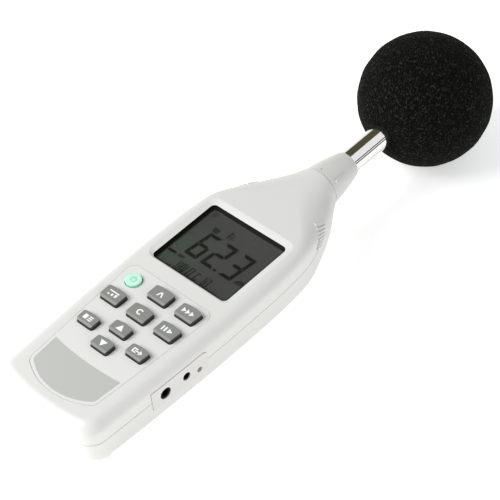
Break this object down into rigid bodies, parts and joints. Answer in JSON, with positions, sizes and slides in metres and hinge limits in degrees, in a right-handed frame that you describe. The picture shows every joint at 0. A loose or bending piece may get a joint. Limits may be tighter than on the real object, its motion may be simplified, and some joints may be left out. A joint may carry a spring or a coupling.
{
  "type": "sound level meter",
  "caption": "Handheld sound level meter with a slim keypad body, display window, round neck, polished microphone barrel and a foam ball windscreen.",
  "frame": {"origin": "centre of the tripod socket's mouth, on the flat back", "axes": "+Y along the body towards the microphone tip, +Z out of the keypad face, +X to the port side"},
  "size_m": [0.07, 0.3048, 0.07],
  "materials": {
    "case_plastic": "fine satin moulded, warm light grey",
    "cone_plastic": "satin moulded, warm light grey",
    "overlay_plastic": "satin film, warm light grey",
    "label_film": "matt printed film, mid grey",
    "plate_plastic": "satin moulded, light grey",
    "door_plastic": "fine satin moulded, warm light grey",
    "grey_silicone": "smooth satin",
    "mint_silicone": "smooth translucent",
    "web_silicone": "matt",
    "lens_acrylic": "polished clear acrylic",
    "gasket_foam": "matt black",
    "lcd_film": "grey liquid crystal with polariser",
    "backlight": "white diffuser",
    "zebra": "matt",
    "circuit_board": "green solder mask",
    "chip_epoxy": "matt black",
    "connector": "natural nylon",
    "screw_steel": "zinc plated",
    "brass_insert": "machined",
    "spring_steel": "nickel plated",
    "cell_wrap": "printed film, plain",
    "red_wire": "satin",
    "black_wire": "satin",
    "grey_wire": "satin",
    "jack_black": "black",
    "trimmer_blue": "blue",
    "rotor_brass": "machined",
    "barrel_chrome": "polished, bright plated",
    "grid_steel": "fine turned",
    "diaphragm_nickel": "thin foil",
    "quartz_insulator": "translucent",
    "open_cell_foam": "open-cell foam, black",
    "label_foil": "matt foil, blank"
  },
  "bodies": {
    "case": {"front_case": "case_plastic", "back_case": "case_plastic", "nose_cone": "cone_plastic", "port_plate": "plate_plastic", "keypad_overlay": "overlay_plastic", "label_plate": "label_film", "keypad_web": "web_silicone", "lcd_window": "lens_acrylic", "lcd_gasket": "gasket_foam", "lcd_glass": "lcd_film", "lcd_backlight": "backlight", "zebra_strips": "zebra", "main_board": "circuit_board", "preamp_board": "circuit_board", "board_chips": "chip_epoxy", "signal_plug": "connector", "board_screws": "screw_steel", "case_screws": "screw_steel", "tripod_insert": "brass_insert", "battery_contacts": "spring_steel", "red_lead": "red_wire", "black_lead": "black_wire", "signal_leads": "grey_wire", "power_jack": "jack_black", "output_jack": "jack_black", "trimmer_body": "trimmer_blue", "mic_barrel": "barrel_chrome", "barrel_nut": "brass_insert", "mic_capsule": "grid_steel", "mic_grid": "grid_steel", "mic_diaphragm": "diaphragm_nickel", "mic_insulator": "quartz_insulator", "mic_backplate": "brass_insert", "back_label": "label_foil", "battery_1": "cell_wrap", "battery_2": "cell_wrap", "battery_3": "cell_wrap", "battery_4": "cell_wrap"},
    "power_key": {"power_key": "mint_silicone"},
    "a_key": {"a_key": "grey_silicone"},
    "fast_key": {"fast_key": "grey_silicone"},
    "max_key": {"max_key": "grey_silicone"},
    "c_key": {"c_key": "grey_silicone"},
    "slow_key": {"slow_key": "grey_silicone"},
    "mem_key": {"mem_key": "grey_silicone"},
    "up_key": {"up_key": "grey_silicone"},
    "down_key": {"down_key": "grey_silicone"},
    "read_key": {"read_key": "grey_silicone"},
    "battery_door": {"battery_door": "door_plastic"},
    "windscreen": {"windscreen": "open_cell_foam"},
    "trimmer_rotor": {"trimmer_rotor": "rotor_brass"}
  },
  "joints": [
    {"name": "power_key_press", "type": "slide", "parent": "case", "child": "power_key", "axis": [0, 0, -1], "range_m": [0, 0.0008], "stiffness_N_per_m": 900},
    {"name": "a_key_press", "type": "slide", "parent": "case", "child": "a_key", "axis": [0, 0, -1], "range_m": [0, 0.0008], "stiffness_N_per_m": 900},
    {"name": "fast_key_press", "type": "slide", "parent": "case", "child": "fast_key", "axis": [0, 0, -1], "range_m": [0, 0.0008], "stiffness_N_per_m": 900},
    {"name": "max_key_press", "type": "slide", "parent": "case", "child": "max_key", "axis": [0, 0, -1], "range_m": [0, 0.0008], "stiffness_N_per_m": 900},
    {"name": "c_key_press", "type": "slide", "parent": "case", "child": "c_key", "axis": [0, 0, -1], "range_m": [0, 0.0008], "stiffness_N_per_m": 900},
    {"name": "slow_key_press", "type": "slide", "parent": "case", "child": "slow_key", "axis": [0, 0, -1], "range_m": [0, 0.0008], "stiffness_N_per_m": 900},
    {"name": "mem_key_press", "type": "slide", "parent": "case", "child": "mem_key", "axis": [0, 0, -1], "range_m": [0, 0.0008], "stiffness_N_per_m": 900},
    {"name": "up_key_press", "type": "slide", "parent": "case", "child": "up_key", "axis": [0, 0, -1], "range_m": [0, 0.0008], "stiffness_N_per_m": 900},
    {"name": "down_key_press", "type": "slide", "parent": "case", "child": "down_key", "axis": [0, 0, -1], "range_m": [0, 0.0008], "stiffness_N_per_m": 900},
    {"name": "read_key_press", "type": "slide", "parent": "case", "child": "read_key", "axis": [0, 0, -1], "range_m": [0, 0.0008], "stiffness_N_per_m": 900},
    {"name": "door_slide", "type": "slide", "parent": "case", "child": "battery_door", "axis": [0, -1, 0], "range_m": [0, 0.054]},
    {"name": "windscreen_pull", "type": "slide", "parent": "case", "child": "windscreen", "axis": [0, 1, 0], "range_m": [0, 0.045]},
    {"name": "trimmer_turn", "type": "hinge", "parent": "case", "child": "trimmer_rotor", "pos_m": [0.029, -0.0246, 0.0118], "axis": [1, 0, 0], "range_deg": [-135, 135]}
  ]
}
